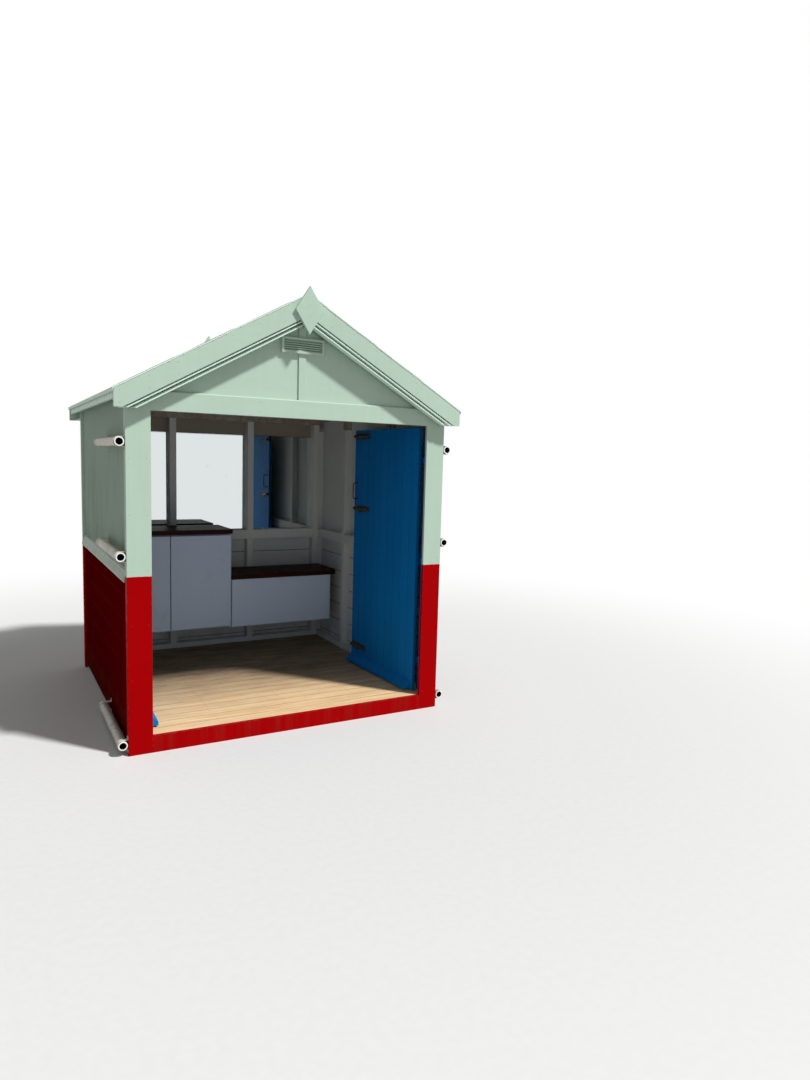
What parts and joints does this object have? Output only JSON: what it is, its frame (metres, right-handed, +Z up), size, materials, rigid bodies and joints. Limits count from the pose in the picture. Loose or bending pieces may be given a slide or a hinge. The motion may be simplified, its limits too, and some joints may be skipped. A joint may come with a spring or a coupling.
{
  "type": "beach hut",
  "caption": "Timber beach hut with a pitched roof, diamond finials, a pair of inward doors, open side tubes, a wall cupboard and a bench.",
  "frame": {"origin": "middle of the footprint on the ground", "axes": "+Z up, the doorway faces -Y, +X to the right when looking at the doorway from outside"},
  "size_m": [2.086, 2.142, 2.5856],
  "materials": {
    "painted_timber_mint": "satin mint green oil paint, weathered",
    "painted_timber_red": "satin bright red paint",
    "painted_timber_two_tone": "mint paint above the sill line, red paint below it",
    "bare_timber": "bare softwood, worn and silvered",
    "white_timber": "white satin paint",
    "blue_timber": "satin mid blue paint",
    "dark_timber": "dark stained and varnished timber",
    "white_plastic": "white plastic pipe, weathered",
    "galvanised_steel": "galvanised, dulled and lightly rusted",
    "silvered_glass": "silvered mirror"
  },
  "bodies": {
    "hut": {"barge_boards": "painted_timber_mint", "bench_box": "white_timber", "bench_seat": "dark_timber", "cupboard_box": "white_timber", "door_lintel": "white_timber", "eaves_boards": "painted_timber_mint", "floor_boards": "bare_timber", "floor_joists": "bare_timber", "front_gable": "painted_timber_mint", "front_left_corner_board": "painted_timber_two_tone", "front_right_corner_board": "painted_timber_two_tone", "gable_finials": "painted_timber_mint", "gable_mouldings": "painted_timber_mint", "gable_rafters": "white_timber", "header_boards": "painted_timber_mint", "high_pipes": "white_plastic", "hinge_plates": "galvanised_steel", "left_door_post": "white_timber", "left_lower_boards": "painted_timber_red", "left_roof_slope": "painted_timber_mint", "left_upper_panel": "painted_timber_mint", "louvre_vents": "painted_timber_mint", "low_pipes": "white_plastic", "middle_pipes": "white_plastic", "mirror_panes": "silvered_glass", "rear_gable": "painted_timber_mint", "rear_left_corner_board": "painted_timber_two_tone", "rear_lower_boards": "painted_timber_red", "rear_right_corner_board": "painted_timber_two_tone", "rear_upper_panel": "painted_timber_mint", "rear_wall_rails": "white_timber", "rear_wall_studs": "white_timber", "ridge_and_purlins": "white_timber", "right_door_post": "white_timber", "right_lower_boards": "painted_timber_red", "right_roof_slope": "painted_timber_mint", "right_upper_panel": "painted_timber_mint", "side_wall_rails": "white_timber", "side_wall_studs": "white_timber", "threshold": "painted_timber_red", "wall_sills": "painted_timber_mint", "worktop": "dark_timber"},
    "left_door": {"left_door_leaf": "blue_timber", "left_door_drip": "blue_timber", "left_door_straps": "galvanised_steel", "bolt_keeps": "galvanised_steel"},
    "right_door": {"right_door_leaf": "blue_timber", "right_door_drip": "blue_timber", "right_door_straps": "galvanised_steel", "bolts_and_handle": "galvanised_steel"},
    "left_unit_door": {"left_cupboard_door": "white_timber"},
    "right_unit_door": {"right_cupboard_door": "white_timber"}
  },
  "joints": [
    {"name": "left_door_hinge", "type": "hinge", "parent": "hut", "child": "left_door", "pos_m": [-0.887, -0.899, 0.9], "axis": [0, 0, -1], "range_deg": [-2, 88]},
    {"name": "right_door_hinge", "type": "hinge", "parent": "hut", "child": "right_door", "pos_m": [0.887, -0.899, 0.9], "axis": [0, 0, 1], "range_deg": [-2, 88]},
    {"name": "left_unit_door_hinge", "type": "hinge", "parent": "hut", "child": "left_unit_door", "pos_m": [-0.88, 0.484, 0.68], "axis": [0, 0, -1], "range_deg": [0, 90]},
    {"name": "right_unit_door_hinge", "type": "hinge", "parent": "hut", "child": "right_unit_door", "pos_m": [0.009, 0.484, 0.68], "axis": [0, 0, 1], "range_deg": [0, 90]}
  ]
}
